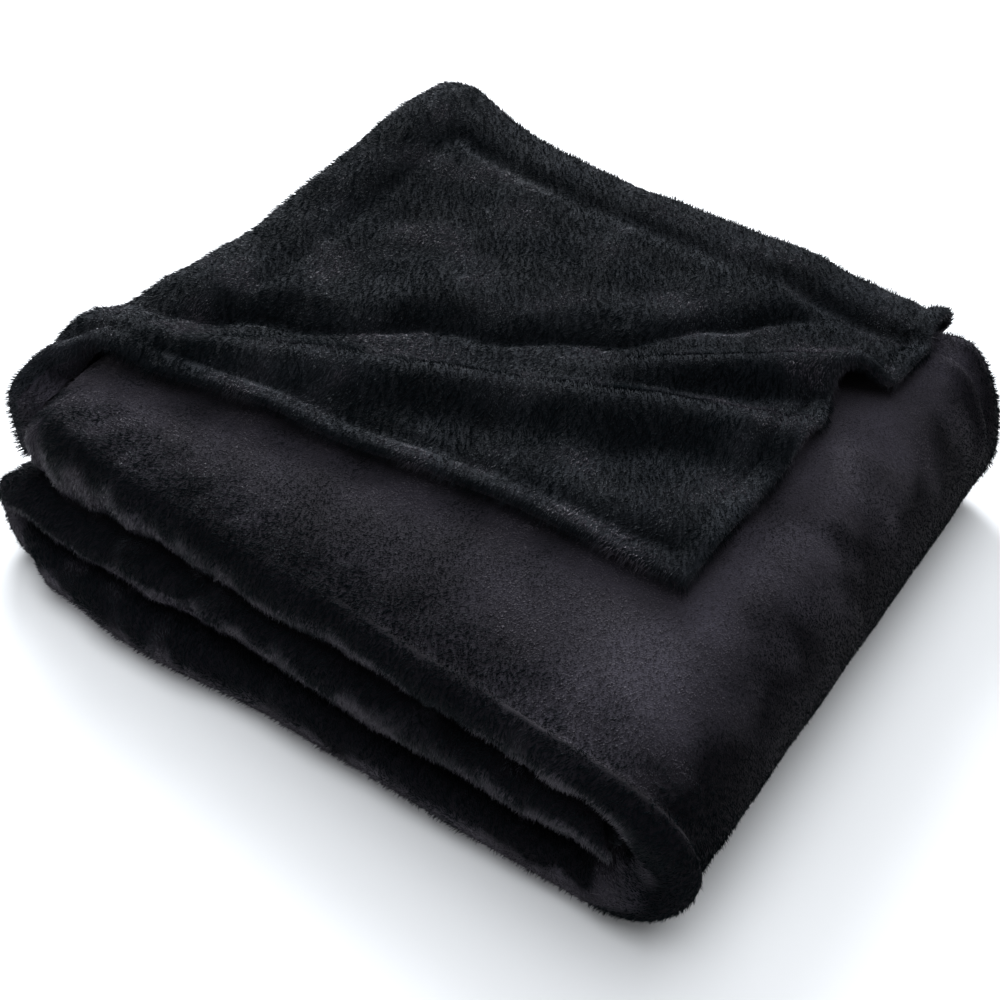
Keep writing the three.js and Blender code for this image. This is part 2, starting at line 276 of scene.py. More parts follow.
def slump(x, y, z):
    # the settled height of the pack at z, as a share of its even height there
    sink = along(frontRows, "sink", x) * bell(max(y, 0), slumping["sinkDepth"]) * (z / coverZ)
    corner = ramp(x, slumping["sinkFromX"], slumping["sinkOverX"])
    corner *= ramp(y, slumping["sinkFromY"], slumping["sinkOverY"]) * slumping["backSink"]
    return 1 - sink - corner + slumping["backLift"] * ramp(y, slumping["liftFrom"], slumping["liftOver"])


def gapLower(x, y):
    # how far the gap under the top panel hangs lower towards the front
    return along(frontRows, "gap", x) * bell(max(y, 0), gapLevel["depth"])


def rimRise(x, y, z):
    # how far the back edge of the wrap stands above the cover
    near = bell(x - backRim["x"], backRim["wide"]) * bell(y - backRim["y"], backRim["deep"])
    return backRim["rise"] * near * (clamp(z, 0, coverZ) / coverZ) ** backRim["upTo"]


def sideways(x, y, z):
    back = clamp(y / pack["depth"], 0, 1)
    out = mix(lean["front"], lean["back"], back) + lean["bulge"] * back * (0.5 - z / coverZ)
    return out * smooth(x / pack["length"])


def settle(x, y, z):
    level = (z - bottomZ) / panelPitch
    low, mid, high = (along(frontRows, key, x) for key in ("low", "mid", "high"))
    ahead = mix(low, mid, smooth(level)) if level < 1 else mix(mid, high, smooth(level - 1))
    y -= ahead * smooth(1 - y / slumping["frontDepth"])
    lower = gapLower(x, y) * bell(level - gapLevel["at"], gapLevel["wide"]) * smooth(z / panelPitch)
    return Vector((x + sideways(x, y, z), y, z * slump(x, y, z) - lower + rimRise(x, y, z)))


def roundEnd(x, y, z):
    # the left end of the top panel
    near = smooth((pack["topEnd"] + endRound["reach"] - x) / endRound["reach"])
    rise = z - topZ
    x += endRound["draw"] * near * (rise / bundle) ** 2
    x += endRound["front"] * near * smooth(1 - y / endRound["frontWide"])
    x += endRound["back"] * near * ramp(y, endRound["backFrom"], endRound["backOver"])
    return x, y, z - endRound["thin"] * near * rise


# Small unevenness of the cover and, as far back as frontDepth, of the folded fronts
packBumps = {
    "cover": bumps(1.3, 70, 3.1), "fine": bumps(0.5, 13, 1.3),
    "front": bumps(3, 34, 7.7, stretch=2), "lip": bumps(1.6, 15, 4.9, stretch=2), "frontDepth": 45,
}


def packUneven(u, v, y):
    atFront = smooth(1 - y / packBumps["frontDepth"])
    front = uneven(u, v, packBumps["front"]) + uneven(u, v, packBumps["lip"])
    return uneven(u, v, packBumps["cover"]) + atFront * front + uneven(u, v, packBumps["fine"])


# Along the flat cloth: where the bottom panel and the right bend start, and where the front bends and
# the cover end
bottomStart = sum(part["length"] for part in thirds[:2])
bendStart = bottomStart + thirds[2]["length"]
lipStart = quarters[0]["length"]
lipEnd = lipStart + quarters[1]["length"] + quarters[2]["length"]
coverEnd = lipEnd + quarters[3]["length"]
innerBend = sum(part["length"] for part in quarters[:7])
# The outer wrap's lip overhangs a hollow in the top panel's front, deepest at the right
outerLip = {
    "below": 1,  # under the cover's edge
    "rise": 1, "riseUp": 3, "riseWide": 4,
    "over": 5, "overUp": 1, "overWide": 5.2, "overDown": 3,  # how far it overhangs
    "deep": 9, "deepIn": 4, "deepFrom": 8, "deepOver": 12,
    "belly": 2.5, "bellyDown": 27, "bellyWide": 7,
    "leftShare": 0.2, "leftFrom": 0, "leftOver": 60, "xFrom": 190, "xOver": 110, "floorOver": 20,
    "squeeze": 1.2,  # how fast the hollow fades towards the roll's middle
}
# The upper halves of the lower fronts are hollow too
lowerFronts = {"deep": 6, "deepIn": 8, "deepFrom": 12, "deepOver": 12, "endOver": 30, "insideShare": 0.5}
# The hem that shows as a rib at the back of the right bend, with a crease on either side
backRib = {
    "in": 15, "rise": 2.4, "wide": 3.5,
    "outIn": 7, "outDeep": 3, "outWide": 4, "backIn": 24, "backDeep": 2.5, "backWide": 4,
    "from": -62, "fromOver": 20, "to": -4, "toOver": 14,
}
pillowCrease = {"in": 11, "deep": 3, "wide": 3.5, "yTo": 140}  # at the top panel's left end


def panelX(u):
    # the X of a place along the top panel, and beyond its ends
    return flat["topStart"] + bendX - u


def throughRoll(v, side):
    # how far round the roll's front a point is, as a length on the outer ply, and how far out of its middle
    bareHalf = half - pileDeep
    if v < coverEnd:
        return lipEnd - v, (outerPly + side * bareHalf) / (outerPly + bareHalf)
    return (v - innerBend) * outerPly / innerPly, (innerPly - side * bareHalf) / (outerPly + bareHalf)


def hollow(sizes, under):
    ended = ramp(under, sizes["deepFrom"], sizes["deepOver"])
    return sizes["deep"] * ramp(under, 0, sizes["deepIn"]) * (1 - ended)


def lipShown(u):
    # how much of the outer lip shows along the top panel and the right bend
    x = panelX(u)
    shown = mix(outerLip["leftShare"], 1, ramp(x, outerLip["xFrom"], outerLip["xOver"]))
    shown *= ramp(x, outerLip["leftFrom"], outerLip["leftOver"])
    return shown * ramp(u, bendStart, outerLip["floorOver"])


def ribs(u, v):
    # the rib and its two creases, as shares
    past = u - flat["topStart"]
    shown = ramp(past, backRib["from"], backRib["fromOver"])
    shown *= 1 - ramp(past, backRib["to"], backRib["toOver"])
    parts = (("in", "wide"), ("outIn", "outWide"), ("backIn", "backWide"))
    return [shown * bell(coverEnd - v - backRib[at], backRib[wide]) for at, wide in parts]


def packCreased(u, v, y, side):
    # how deep the placed creases are
    if u > bendStart:
        under, out = throughRoll(v, side)
        under -= outerLip["below"]
        lip = outerLip["rise"] * bell(under + outerLip["riseUp"], outerLip["riseWide"])
        lip += outerLip["belly"] * bell(under - outerLip["bellyDown"], outerLip["bellyWide"])
        deep = (hollow(outerLip, under) - lip) * lipShown(u) * out ** outerLip["squeeze"]
    else:
        under = v - (lipEnd - quarters[2]["length"]) if u > bottomStart else lipEnd - v
        deep = hollow(lowerFronts, under) * mix(lowerFronts["insideShare"], 1, (side + 1) / 2)
        deep *= ramp(bendStart - u, 0, lowerFronts["endOver"])
    rib, outer, back = ribs(u, v)
    deep += backRib["outDeep"] * outer + backRib["backDeep"] * back - backRib["rise"] * rib
    end = bell(flat["across"] - u - pillowCrease["in"], pillowCrease["wide"])
    return deep + pillowCrease["deep"] * end * smooth(1 - y / pillowCrease["yTo"])


def packPlace(u, v, side):
    # where a point of the flat cloth lies in the folded pack, and which way the pile is combed there
    a, b, da, db = pointOn(thirds, u)
    y, off, dy, dOff = pointOn(quarters, v)
    outX, outZ = db, -da  # away from the wound pack
    x, z = a + off * outX, b + off * outZ
    if u < thirds[0]["length"]:  # the middle panel's inner end fills the round inside the right bend
        nose = math.sqrt(noseRadius ** 2 - (abs(off) + half) ** 2)
        x += nose * ((a - leftBendX) / (bendX - leftBendX)) ** pack["noseTaper"]
    across = Vector((da, 0, db))
    down = Vector((dOff * outX, dy, dOff * outZ))
    normal = across.cross(down).normalized()
    faceZ = z + normal.z * side * half
    bare = pileDeep * smooth(faceZ / pack["bareOver"])  # the pile fills this
    creased = packCreased(u, v, y, side)
    reach = side * (half - bare) - (packUneven(u, v, y) + creased) * smooth(faceZ / pack["evenOver"])
    x, y, z = x + normal.x * reach, y + normal.y * reach, z + normal.z * reach
    if u > bendStart and v < coverEnd:
        under = lipEnd - v
        over = bell(under + outerLip["overUp"], outerLip["overWide"])
        over *= 1 - ramp(under, 0, outerLip["overDown"])
        y -= outerLip["over"] * over * lipShown(u)
    onTop = u > flat["topStart"]
    return settle(*(roundEnd(x, y, z) if onTop else (x, y, z))), -down


# The turned sheet's folds: ridges and valleys, each from a start to an end
foldRows = table(
    "x0 y0 x1 y1 rise0 rise1 wide0 wide1",
    (10, 92, 345, 222, 9, 13, 15, 20),  # the long ridge
    (215, 198, 356, 297, 2, 18, 14, 12),  # the arch at the right hem
    (60, 124, 366, 262, -1, -3, 12, 15),  # the valley before the long ridge
    (250, 124, 362, 142, 1, 3, 16, 20),  # along the front hem
)
foldEnds = {"before": 0.12, "rising": 0.2, "past": 1.15, "falling": 0.15}  # shares of a fold's length
# The raised field behind the folds: the line where it starts, its height, and more at the back edge
fieldRows = table(
    "x start lift back",
    (0, 112, 8, 0),
    (76, 150, 9, 0),
    (174, 205, 7, 1),
    (234, 238, 5, 2),
    (277, 292, 5, 4),
    (313, 334, 4, 1),
    (390, 362, 0, 0),
)
fieldSoft = 34
# At the foot of the field's front slope
fieldCrease = {"in": 5, "deep": 2.6, "wide": 5, "over": 40, "endFrom": 300, "endOver": 30}
backSoft = {"from": 270, "over": 90}
# The sheet's right hem by its distance from the front, and its front hem by its distance from the left
rightHem = table("x at", (100, 370), (200, 368), (250, 364), (286, 354), (312, 376), (345, 377), (378, 370))
frontHem = table("x at", (-74, 30), (-37, 36), (0, 64), (22, 82), (140, 97), (290, 109), (380, 108))


def cornerShare(x):
    # 1 at the back left corner, falling off to the right
    return math.exp((turned["leftEdge"] - max(x, turned["leftEdge"])) / backCorner["wide"])


def relief(x, y):
    # the turned sheet's height above the cover
    rise = 0
    for fold in foldRows:
        dx, dy = fold["x1"] - fold["x0"], fold["y1"] - fold["y0"]
        size = math.hypot(dx, dy)
        share = ((x - fold["x0"]) * dx + (y - fold["y0"]) * dy) / size ** 2
        off = ((y - fold["y0"]) * dx - (x - fold["x0"]) * dy) / size
        s = clamp(share, 0, 1)
        ends = smooth((share + foldEnds["before"]) / foldEnds["rising"])
        ends *= smooth((foldEnds["past"] - share) / foldEnds["falling"])
        wide = mix(fold["wide0"], fold["wide1"], s)
        rise += mix(fold["rise0"], fold["rise1"], s) * ends * bell(off, wide)
    rise += along(fieldRows, "lift", x) * ramp(y, along(fieldRows, "start", x), fieldSoft)
    rise += along(fieldRows, "back", x) * ramp(y, backSoft["from"], backSoft["over"])
    rise += backCorner["rise"] * cornerShare(x) * ramp(y, backCorner["from"], backCorner["over"])
    return max(0, rise)


def coverTop(x, y):
    # the top of the cover under the sheet
    evenX = x - sideways(x, y, coverZ)
    past = clamp(evenX - bendX, 0, bendRadius - pack["thick"])
    even = middleZ + math.sqrt(bendRadius ** 2 - past ** 2)
    return even * slump(evenX, y, even) + rimRise(evenX, y, even)


def hemDistances(x, y):
    return max(0, y - along(frontHem, "at", x)), max(0, along(rightHem, "at", y) - x)


def sheetHalf(x, y):
    # half the sheet's thickness, which grows towards its turned-over edges
    front, right = hemDistances(x, y)
    edge = hem["swell"] * bell(min(front, right), hem["wide"])
    left = hem["leftSwell"] * smooth((turned["leftEdge"] - x) / hem["leftSoft"])
    left *= bell(front, hem["leftWide"])
    return half * (1 + edge + left)


# Stitch lines of the hem, and the soft troughs inside the rolled edges
troughs = {"hemAt": 15, "hemDeep": 2.4, "hemWide": 3, "rollAt": 23, "rollDeep": 3, "rollWide": 8}
sheetBumps = {"wide": bumps(1.5, 48, 5.2), "small": bumps(0.8, 17, 9.4)}
sideComb = 0.35  # how far the sheet's pile is combed to the right, beside 1 towards the front


def sheetUneven(x, y):
    front, right = hemDistances(x, y)
    stitched = bell(min(front, right) - troughs["hemAt"], troughs["hemWide"])
    inside = min(x - turned["leftEdge"], turned["backEdge"] - y)
    rolled = bell(inside - troughs["rollAt"], troughs["rollWide"])
    foot = y - along(fieldRows, "start", x) - fieldCrease["in"]
    creased = bell(foot, fieldCrease["wide"]) * ramp(x, 0, fieldCrease["over"])
    creased *= 1 - ramp(x, fieldCrease["endFrom"], fieldCrease["endOver"])
    deep = troughs["hemDeep"] * stitched + troughs["rollDeep"] * rolled + fieldCrease["deep"] * creased
    return uneven(x, y, sheetBumps["wide"]) + uneven(x, y, sheetBumps["small"]) - deep


@functools.lru_cache(maxsize=None)
def sheetPoint(x, y):
    # x and y count on past the left and back edges, where the sheet rolls down
    baseX, baseY = max(x, turned["leftEdge"]), min(y, turned["backEdge"])
    top = coverTop(baseX, baseY) + turned["clear"] + sheetHalf(baseX, baseY) + relief(baseX, baseY)
    arc = leftRoll["arc"] + leftRoll["curl"] * bell(baseY - leftRoll["curlY"], leftRoll["curlWide"])
    toLeft = arc * (baseX - x) / leftRoll["length"]
    toBack = (y - baseY) / backRoll["length"]
    if toLeft == 0 and toBack == 0:
        return Vector((baseX, baseY, top))
    angle = math.pi * (toLeft ** rollCorner + toBack ** rollCorner) ** (1 / rollCorner)
    turn = math.atan2(toBack, toLeft)
    c, s = math.cos(turn), math.sin(turn)
    share = c ** 2
    leftOut = mix(leftRoll["out"], leftRoll["backOut"], ramp(baseY, leftRoll["from"], leftRoll["over"]))
    leftOut += leftRoll["bulge"] * bell(baseY - leftRoll["bulgeY"], leftRoll["bulgeWide"])
    backOut = mix(backRoll["out"], backRoll["rightOut"], ramp(baseX, backRoll["from"], backRoll["over"]))
    backOut += backCorner["out"] * cornerShare(baseX)
    power = backCorner["square"]
    squared = (abs(c) ** power + abs(s) ** power) ** (-1 / power)
    square = mix(rollSquare, leftRoll["square"], share)
    plyZ = topZ - innerPly
    leftFoot = leftRoll["foot"] - leftRoll["frontLower"] * gapLower(baseX, baseY)
    foot = mix(plyZ * slump(baseX, pack["depth"], plyZ), leftFoot, share)
    reach = squared * mix(backOut, leftOut, share) * max(0, math.sin(angle)) ** square
    fall = math.copysign(abs(math.cos(angle)) ** square, math.cos(angle))
    z = foot + (top - foot) * 0.5 * (1 + fall)
    return Vector((baseX - reach * c, baseY + reach * s, z))


@functools.lru_cache(maxsize=None)
def sheetFrame(x, y):
    # the sheet's middle, the way out of it and the way its pile is combed
    step = 0.05
    across = sheetPoint(x - step, y) - sheetPoint(x + step, y)
    down = sheetPoint(x, y - step) - sheetPoint(x, y + step)
    comb = (down.normalized() - sideComb * across.normalized()).normalized()
    return sheetPoint(x, y), across.cross(down).normalized(), comb


def pastRoll(v):
    # how far a place of the flat cloth is past the roll over the back edge, below 0 on the roll
    return v - flat["down"] - backRoll["length"]


def sheetPlace(u, v, side):
    # the flat cloth past the third ply's end: first the roll over the back edge, then the field
    x = bendX - (u - flat["topStart"])
    past = pastRoll(v)
    if past < 0:
        free = clamp((x - turned["joinRight"]) / (turned["hemRight"] - turned["joinRight"]), 0, 1)
        y = turned["backEdge"] - past * (1 - (1 - backRoll["freeArc"]) * free ** backRoll["freeEase"])
    else:
        y = mix(turned["backEdge"], along(frontHem, "at", x), past / turned["fieldLength"])
    drawn = turned["hemRight"] - along(rightHem, "at", y)
    x -= drawn * ramp(x, turned["straightTo"], turned["hemRight"] - turned["straightTo"])
    x, y = round(x, 4), round(y, 4)  # both faces ask for the same spots
    centre, normal, comb = sheetFrame(x, y)
    rolled = turned["leftEdge"] - x
    fill = leftRoll["fill"] * ramp(rolled, 0, leftRoll["fillFrom"])
    fill *= bell(hemDistances(x, y)[0], hem["leftWide"])
    thinned = ramp(rolled, leftRoll["fillTo"], leftRoll["length"] - leftRoll["fillTo"])
    fill *= 1 - leftRoll["fillLess"] * thinned
    reach = side * (sheetHalf(x, y) - pileDeep) - fill * (1 - side) / 2
    return centre + normal * (reach + sheetUneven(x, y)), comb


# The flat cloth, cut, thickened and with round edges, before it is folded


def flatPiece(bm, across, down):
    made = bmesh.ops.create_grid(bm, x_segments=len(across) - 1, y_segments=len(down) - 1, size=0.5)
    for v in made["verts"]:
        i = round((v.co.x + 0.5) * (len(across) - 1))
        j = round((v.co.y + 0.5) * (len(down) - 1))
        v.co = (across[i], down[j], 0)


def spread(start, end, step):
    count = max(1, round(abs(end - start) / step))
    return [mix(start, end, k / count) for k in range(count + 1)]


def flatCloth():
    bm = bmesh.new()
    packAcross, packDown = stations(thirds), stations(quarters)
    flatPiece(bm, packAcross, packDown)
    # panelX also finds the place along the panel from an X
    joinFrom, joinTo = panelX(turned["joinRight"]) - sameSpot, panelX(turned["leftEdge"]) + sameSpot
    joined = [u for u in packAcross if joinFrom < u < joinTo]
    freeRight = spread(panelX(turned["hemRight"]), joined[0], spacing["seen"])
    freeLeft = spread(joined[-1], panelX(turned["leftEdge"] - leftRoll["length"]), spacing["seen"])
    rollEnd = flat["down"] + backRoll["length"]
    sheetDown = spread(flat["down"], rollEnd, spacing["seen"])
    sheetDown += spread(rollEnd, rollEnd + turned["fieldLength"], spacing["seen"])[1:]
    flatPiece(bm, freeRight[:-1] + joined + freeLeft[1:], sheetDown)
    bmesh.ops.remove_doubles(bm, verts=bm.verts[:], dist=sameSpot)
    cutFrom, cutTo = flat["down"] - flat["cornerCut"], flat["down"] + flat["cornerLift"]
    centres = [(f, f.calc_center_median()) for f in bm.faces]
    gone = [f for f, c in centres if c.x > joined[-1] and cutFrom < c.y < cutTo]
    bmesh.ops.delete(bm, geom=gone, context="FACES")
    return bm


def thicken(bm):
    bmesh.ops.solidify(bm, geom=bm.faces[:], thickness=pack["thick"])
    bmesh.ops.translate(bm, verts=bm.verts[:], vec=(0, 0, half))
    bm.normal_update()
    rim = [e for e in bm.edges if len({abs(f.normal.z) > 0.5 for f in e.link_faces}) == 2]
    bmesh.ops.bevel(
        bm, geom=rim, offset=pack["edgeRound"] * pack["thick"],
        segments=3, profile=0.5, affect="EDGES", material=-1
    )


def makeCloth():
    bm = flatCloth()
    thicken(bm)
    flatMap = bm.loops.layers.uv.new("flatCloth")
    for f in bm.faces:
        f.smooth = True
        for loop in f.loops:
            loop[flatMap].uv = (loop.vert.co.x * mm, loop.vert.co.y * mm)
    middle = Vector((pack["middleX"], pack["middleY"], 0))
    sides, combs, places = [], [], []
    for v in bm.verts:
        u, down, side = v.co.x, v.co.y, clamp(v.co.z / half, -1, 1)
        place = packPlace if down <= flat["down"] + sameSpot else sheetPlace
        spot, comb = place(u, down, side)
        v.co = (spot - middle) * mm
        sides.append(side)
        combs.append(comb)
        places.append((u, down))
    for f in bm.faces:
        f.material_index = 0 if sum(sides[v.index] for v in f.verts) > 0 else 1
    mesh = bpy.data.meshes.new("fleeceCloth")
    bm.normal_update()
    bm.to_mesh(mesh)
    bm.free()
    return mesh, places, combs


def addObject(name, data):
    made = bpy.data.objects.new(name, data)
    bpy.context.scene.collection.objects.link(made)
    return made


mesh, places, combs = makeCloth()
cloth = addObject("fleeceCloth", mesh)
print("cloth", len(mesh.vertices), "vertices", sum(len(p.vertices) - 2 for p in mesh.polygons), "triangles")


# Where the pile shows

# Short rays find the open cloth: at least this share of them is free, and none starts on the underside
airing = {
    "reach": 22, "off": 1.2, "rays": 9, "tilt": 0.95, "least": 0.2, "over": 0.3,
    "underZ": 1.5, "underFacing": -0.5,
}


def airAt(tree, spot, normal):
    # the share of short rays from a spot that meet neither cloth nor floor
    ends = [normal]
    side = normal.orthogonal().normalized()
    other = normal.cross(side)
    for k in range(airing["rays"] - 1):
        angle = 2 * math.pi * k / (airing["rays"] - 1)
        outward = math.cos(angle) * side + math.sin(angle) * other
        ends.append((normal + airing["tilt"] * outward).normalized())
    start = spot + normal * airing["off"] * mm
    reach = airing["reach"] * mm
    free = 0
    for way in ends:
        meetsFloor = start.z + way.z * reach < 0
        if not meetsFloor and tree.ray_cast(start, way, reach)[0] is None:
            free += 1
    return free / len(ends)


sheetStart = flat["down"] + backRoll["length"]
zoneNames = ("sheetPile", "rollPile", "frontPile", "coverPile", "edgePile")
# The fronts' pile goes on over the cover's edge, and the cover's ends short of the back fold
zoneEdges = {"soft": 12, "frontOn": 38, "frontOver": 30, "coverShort": 4, "coverOver": 8}


def pastEdge(at, edge):
    return smooth((at - edge) / zoneEdges["soft"] + 0.5)


def zonesAt(u, v):
    # the share of each kind of pile at a place of the flat cloth
    if v > flat["down"] + sameSpot:
        field = pastEdge(v, sheetStart) * pastEdge(panelX(u), turned["leftEdge"])
        return {"sheetPile": field, "rollPile": 1 - field}
    seen = pastEdge(v, lipStart)
    front = smooth((lipEnd + zoneEdges["frontOn"] - v) / zoneEdges["frontOver"]) * seen
    cover = (1 - front) * smooth((coverEnd - zoneEdges["coverShort"] - v) / zoneEdges["coverOver"]) * seen
    return {"frontPile": front, "coverPile": cover, "edgePile": 1 - front - cover}


# Painted light and shade: where the pile and the cloth under it are drawn darker or paler as if light fell
# on the folds, added to each pile's own tone, with random patches and ragged edges
paintedShades = {
    "slope": 6, "slopeDark": -1.8, "slopePale": 0.3,  # painted shade on the sheet's slopes that face the front, painted light on those that face the back
    # painted light where the sheet rolls over the left edge, and paler along the hems
    "shell": 1.2, "shellOver": 30, "hem": 1, "hemWide": 9,
    # painted shade in the hollows of the folded fronts, painted light on their lower lips and a thin
    # painted highlight on the outer lip's edge
    "hollow": -4, "hollowIn": 4, "hollowTo": 16, "hollowOut": 7, "leftShare": 0.35, "rightShare": 1.15,
    "lip": 3.6, "lipAt": 27, "lipWide": 10, "edge": 0.2, "edgeUp": 2, "edgeWide": 6, "edgeFade": 3,
    # painted shade along the front shoulder
    "shoulder": -2.2, "shoulderAt": -4, "shoulderWide": 21, "shoulderRight": 0.8,
    # painted light on the cover's crest before the right bend
    "band": 3.4, "bandX": 368, "bandWide": 36,
    # painted shade on the right side and in the creases beside the rib, painted light on the rib
    "side": -3.2, "sideFrom": 14, "sideOver": 28, "sideEnd": 50, "crease": -1.6, "rib": 1.6,
    # painted light on the lower left bend's end and on the top panel's left end, which the shell shades
    "leftEnd": 1, "pillowEnd": 2, "pillowWide": 60,
    "patches": bumps(1, 26, 2.2), "patchLeast": 0.4, "patchMost": 1.5,
    "ragged": bumps(9, 15, 6.6), "raggedOver": 9, "raggedSide": 2,  # the ragged edges of the painted dark parts
}


def frontPaintedShade(down):
    # painted shade in a folded front's hollow under its upper edge, and painted light on its lower lip
    dark = ramp(down, 0, paintedShades["hollowIn"]) * (1 - ramp(down, paintedShades["hollowTo"], paintedShades["hollowOut"]))
    return paintedShades["hollow"] * dark + paintedShades["lip"] * bell(down - paintedShades["lipAt"], paintedShades["lipWide"])


def paintedToneAt(u, v, normal):
    # the painted light and shade at a place of the flat cloth, scaled by random patches
    x = panelX(u)
    patchy = clamp(1 + uneven(u, v, paintedShades["patches"]), paintedShades["patchLeast"], paintedShades["patchMost"])
    ragged = uneven(u, v, paintedShades["ragged"])
    if v > flat["down"] + sameSpot:
        # painted shade and light by which way the sheet faces
        tone = clamp(paintedShades["slope"] * normal.y, paintedShades["slopeDark"], paintedShades["slopePale"])
        # painted light on the roll over the left edge
        tone += paintedShades["shell"] * ramp(turned["leftEdge"] - x, 0, paintedShades["shellOver"])
        nearHem = min(turned["fieldLength"] - pastRoll(v), max(0, turned["hemRight"] - x))
        return tone * patchy + paintedShades["hem"] * bell(nearHem, paintedShades["hemWide"])
    lower = frontPaintedShade(v - lipStart - quarters[1]["length"] + ragged)
    if u < bendStart:
        if u > bottomStart:
            return lower * patchy
        # painted light on the lower left bend's end
        end = paintedShades["leftEnd"] if u > thirds[0]["length"] else 0
        return frontPaintedShade(lipEnd - v + ragged) * patchy + end
    shown = lipShown(u)
    down = lipEnd - v
    tone = frontPaintedShade(down + ragged * ramp(down, 0, paintedShades["raggedOver"]))
    tone *= mix(paintedShades["leftShare"], paintedShades["rightShare"], shown)
    tone = mix(lower, tone, ramp(u, bendStart, outerLip["floorOver"]))
    # a thin painted highlight along the outer lip's edge
    edge = paintedShades["edge"] * shown ** paintedShades["edgeFade"]
    tone += edge * bell(down + paintedShades["edgeUp"], paintedShades["edgeWide"])
    # painted shade along the front shoulder
    shoulder = paintedShades["shoulder"] * mix(1, paintedShades["shoulderRight"], shown)
    tone += shoulder * bell(down + ragged - paintedShades["shoulderAt"], paintedShades["shoulderWide"])
    # painted shade on the right side, beyond the bend
    side = ramp(x - bendX + paintedShades["raggedSide"] * ragged, paintedShades["sideFrom"], paintedShades["sideOver"])
    tone += paintedShades["side"] * side * ramp(u, bendStart, paintedShades["sideEnd"])
    # painted light on the cover's crest before the right bend
    tone += paintedShades["band"] * bell(x - paintedShades["bandX"], paintedShades["bandWide"])
    # painted shade in the rib's creases, painted light on the rib
    rib, outer, back = ribs(u, v)
    tone += paintedShades["crease"] * (outer + back) + paintedShades["rib"] * rib
    # painted light on the top panel's left end
    return tone * patchy + paintedShades["pillowEnd"] * bell(flat["across"] - u, paintedShades["pillowWide"])


def addPileAttributes(mesh, places, combs):
    corners = [tuple(p.vertices) for p in mesh.polygons]
    tree = bvhtree.BVHTree.FromPolygons([v.co for v in mesh.vertices], corners)
    zones = {name: [0.0] * len(mesh.vertices) for name in zoneNames}
    for v in mesh.vertices:
        if v.co.z < airing["underZ"] * mm and v.normal.z < airing["underFacing"]:
            continue
        air = airAt(tree, v.co, v.normal)
        if air > airing["least"]:
            for name, share in zonesAt(*places[v.index]).items():
                zones[name][v.index] = share * smooth((air - airing["least"]) / airing["over"])
    # the tone attribute carries the painted light and shade
    zones["tone"] = [paintedToneAt(*places[v.index], v.normal) for v in mesh.vertices]
    for name, values in zones.items():
        mesh.attributes.new(name, "FLOAT", "POINT").data.foreach_set("value", values)
    comb = mesh.attributes.new("comb", "FLOAT_VECTOR", "POINT")
    comb.data.foreach_set("vector", [c for way in combs for c in way])


addPileAttributes(mesh, places, combs)
print("open cloth found")


# Colour, sheen and the fine grain of each face of the cloth, which shows between the strands; the painted
# light and shade in the tone attribute darken or brighten its colour, sheen and gloss
fleeceLooks = {
    "plushSide": {
        "colour": (0.0052, 0.006, 0.0078), "tint": (0.85, 0.92, 1), "rough": 0.85, "sheen": 0.05,
        "grainScale": 900, "grainDeep": 1.2,
    },
    "smoothSide": {
        "colour": (0.0098, 0.009, 0.0125), "tint": (1, 0.92, 1), "rough": 0.8, "sheen": 0.08,
        "grainScale": 1300, "grainDeep": 0.8,
    },
}
fleeceShared = {
    "sheenRough": 0.4, "gloss": 0.12, "grainStrength": 0.9, "patchScale": 30,
    "patches": ((0.35, 0.6), (0.68, 1.3)),  # where along the noise, and how bright
    "paintedShading": {"From Min": -2.5, "From Max": 3.5, "To Min": 0.4, "To Max": 2},  # from the painted shade and light in the tone attribute to brightness
}


def newMaterial(name, inputs):
    mat = bpy.data.materials.new(name)
    mat.use_nodes = True
    shader = mat.node_tree.nodes["Principled BSDF"]
    for label, value in inputs.items():
        shader.inputs[label].default_value = value
    return mat


def addNode(tree, kind, inputs, output, **settings):
    # inputs by name or number, each linked from another node's output or set to a value
    node = tree.nodes.new(kind)
    for label, value in settings.items():
        setattr(node, label, value)
    for label, value in inputs.items():
        if isinstance(value, bpy.types.NodeSocket):
            tree.links.new(value, node.inputs[label])
        else:
            node.inputs[label].default_value = value
    return node.outputs[output] if output else node


